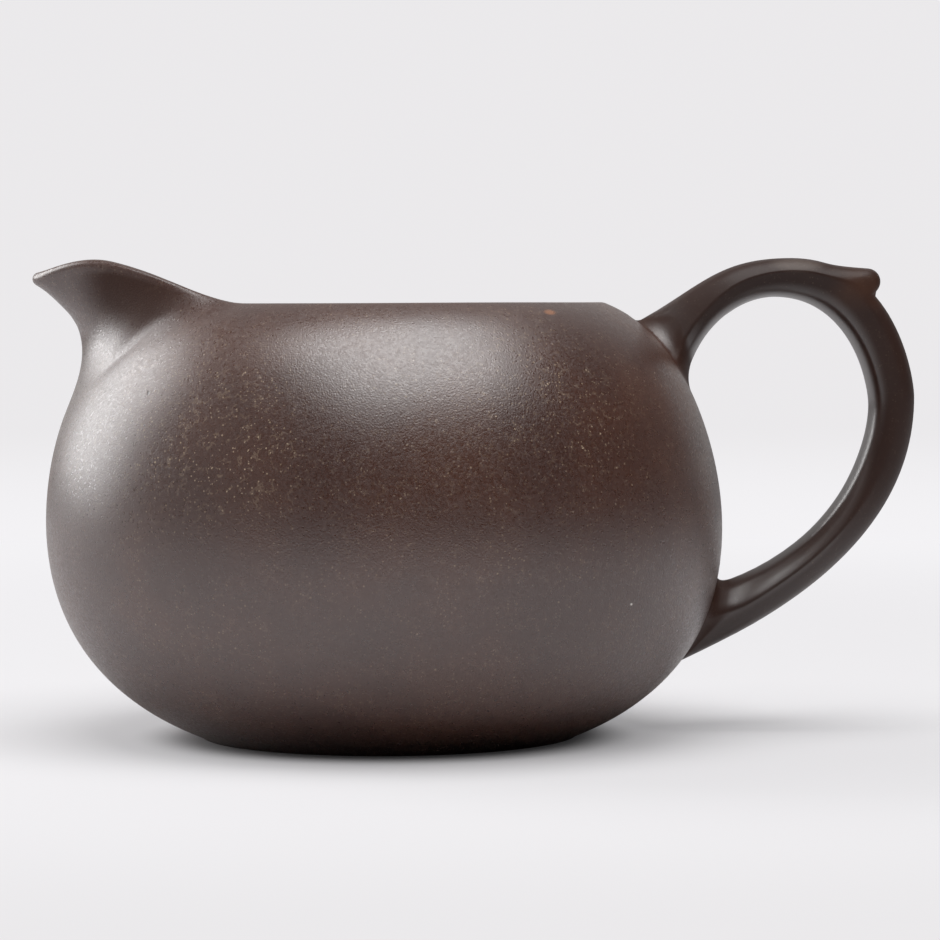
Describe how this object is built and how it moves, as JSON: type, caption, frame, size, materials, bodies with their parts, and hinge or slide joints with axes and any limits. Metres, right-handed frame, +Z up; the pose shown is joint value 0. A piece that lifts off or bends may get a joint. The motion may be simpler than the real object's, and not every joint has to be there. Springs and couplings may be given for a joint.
{
  "type": "tea fairness pitcher",
  "caption": "Squat fired-clay pitcher with a drawn pouring lip and a looped handle with a thumb rest, for sharing out brewed tea.",
  "frame": {"origin": "middle of the foot, on the table", "axes": "+Z up, +X from the bowl's axis towards the handle, the pouring lip along -X"},
  "size_m": [0.1178, 0.09, 0.0635],
  "materials": {
    "clay": "matte unglazed stoneware"
  },
  "bodies": {
    "root": {"pitcher": "clay"}
  },
  "joints": []
}
